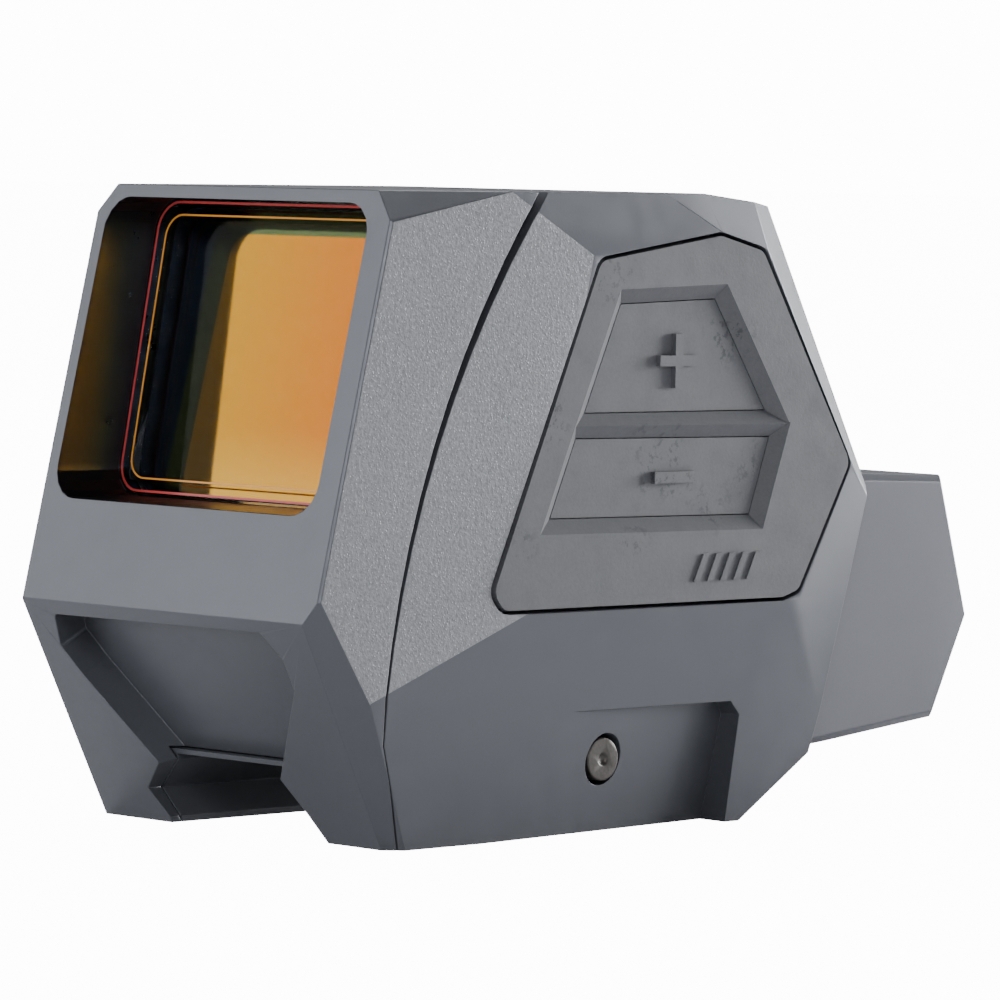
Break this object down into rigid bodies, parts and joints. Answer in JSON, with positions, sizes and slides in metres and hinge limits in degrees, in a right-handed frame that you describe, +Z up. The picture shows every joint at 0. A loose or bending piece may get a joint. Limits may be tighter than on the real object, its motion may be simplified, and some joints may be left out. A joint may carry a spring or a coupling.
{
  "type": "red dot sight",
  "caption": "Closed reflex red dot sight: faceted metal body with a tilted amber-coated lens, rubber keypad, rear battery block and a rail clamp base.",
  "frame": {"origin": "middle of the flat rail seat face under the body, over the rail's centreline", "axes": "+Y to the rear, towards the eye; +X to the side with the keypad; +Z up, away from the rail"},
  "size_m": [0.0449, 0.0896, 0.0588],
  "materials": {
    "body": "hard anodised, fine blasted grey",
    "dark_metal": "hard anodised, matt black",
    "seal": "matt black rubber",
    "glass": "clear, coated",
    "mirror_coating": "amber reflective coating",
    "rubber": "satin moulded rubber",
    "steel": "blackened steel, worn",
    "brass": "plated contact",
    "board": "solder mask",
    "chip": "moulded package",
    "led": "clear red",
    "cell": "printed sleeve, plain"
  },
  "bodies": {
    "sight_body": {"main_housing": "body", "front_bezel": "body", "body_gasket": "seal", "objective_glass": "glass", "coated_lens": "mirror_coating", "lens_gasket": "seal", "rear_window": "glass", "rear_window_gasket": "seal", "rear_window_frame": "dark_metal", "button_pad": "rubber", "pad_backing_plate": "steel", "control_board": "board", "plus_switch": "steel", "minus_switch": "steel", "controller_chip": "chip", "battery_block": "body", "block_gasket": "seal", "block_screw_1": "steel", "block_screw_2": "steel", "contact_plate": "brass", "bezel_dowel_1": "steel", "bezel_dowel_2": "steel", "bezel_dowel_3": "steel", "bezel_dowel_4": "steel", "tube_spring": "steel", "elevation_seal": "seal", "windage_seal": "seal"},
    "plus_button": {"plus_key": "rubber", "plus_plunger": "rubber"},
    "minus_button": {"minus_key": "rubber", "minus_plunger": "rubber"},
    "clamp_screw": {"clamp_bolt": "steel", "clamp_washer": "steel"},
    "jaw": {"clamp_jaw": "dark_metal"},
    "gimbal": {"pivot_ring": "dark_metal"},
    "tube": {"inner_tube": "dark_metal", "led_board": "board", "led_holder": "dark_metal", "led_emitter": "led"},
    "elevation_dial": {"elevation_screw": "dark_metal"},
    "windage_dial": {"windage_screw": "dark_metal"},
    "tray": {"battery_tray": "dark_metal", "battery": "cell", "contact_spring": "brass"},
    "tray_bolt": {"tray_screw": "steel"}
  },
  "joints": [
    {"name": "plus_press", "type": "slide", "parent": "sight_body", "child": "plus_button", "axis": [-1, 0, 0], "range_m": [0, 0.0005], "stiffness_N_per_m": 800},
    {"name": "minus_press", "type": "slide", "parent": "sight_body", "child": "minus_button", "axis": [-1, 0, 0], "range_m": [0, 0.0005], "stiffness_N_per_m": 800},
    {"name": "clamp_turn", "type": "hinge", "parent": "sight_body", "child": "clamp_screw", "pos_m": [0, -0.0044, 0.0002], "axis": [-1, 0, 0], "range_deg": [0, 1080]},
    {"name": "jaw_slide", "type": "slide", "parent": "sight_body", "child": "jaw", "axis": [1, 0, 0], "range_m": [0, 0.0024]},
    {"name": "elevation_turn", "type": "hinge", "parent": "sight_body", "child": "elevation_dial", "pos_m": [-0.0015, -0.002, 0.05], "axis": [0, 0, 1], "range_deg": [-360, 360]},
    {"name": "windage_turn", "type": "hinge", "parent": "sight_body", "child": "windage_dial", "pos_m": [-0.018, -0.002, 0.0372], "axis": [1, 0, 0], "range_deg": [-360, 360]},
    {"name": "tube_yaw", "type": "hinge", "parent": "sight_body", "child": "gimbal", "pos_m": [-0.0015, -0.014, 0.0372], "axis": [0, 0, 1], "range_deg": [-0.7, 0.7]},
    {"name": "tube_pitch", "type": "hinge", "parent": "gimbal", "child": "tube", "pos_m": [-0.0015, -0.014, 0.0372], "axis": [1, 0, 0], "range_deg": [-0.7, 0.7]},
    {"name": "tray_slide", "type": "slide", "parent": "sight_body", "child": "tray", "axis": [-1, 0, 0], "range_m": [0, 0.032]},
    {"name": "tray_screw_turn", "type": "hinge", "parent": "tray", "child": "tray_bolt", "pos_m": [-0.012, 0.028, 0.0054], "axis": [-1, 0, 0], "range_deg": [0, 1440]}
  ],
  "couplings": [
    {"joint": "clamp_turn", "follows": "jaw_slide", "rad_per_m": 7854},
    {"joint": "elevation_turn", "follows": "tube_pitch", "ratio": 514.29},
    {"joint": "windage_turn", "follows": "tube_yaw", "ratio": -514.29}
  ]
}
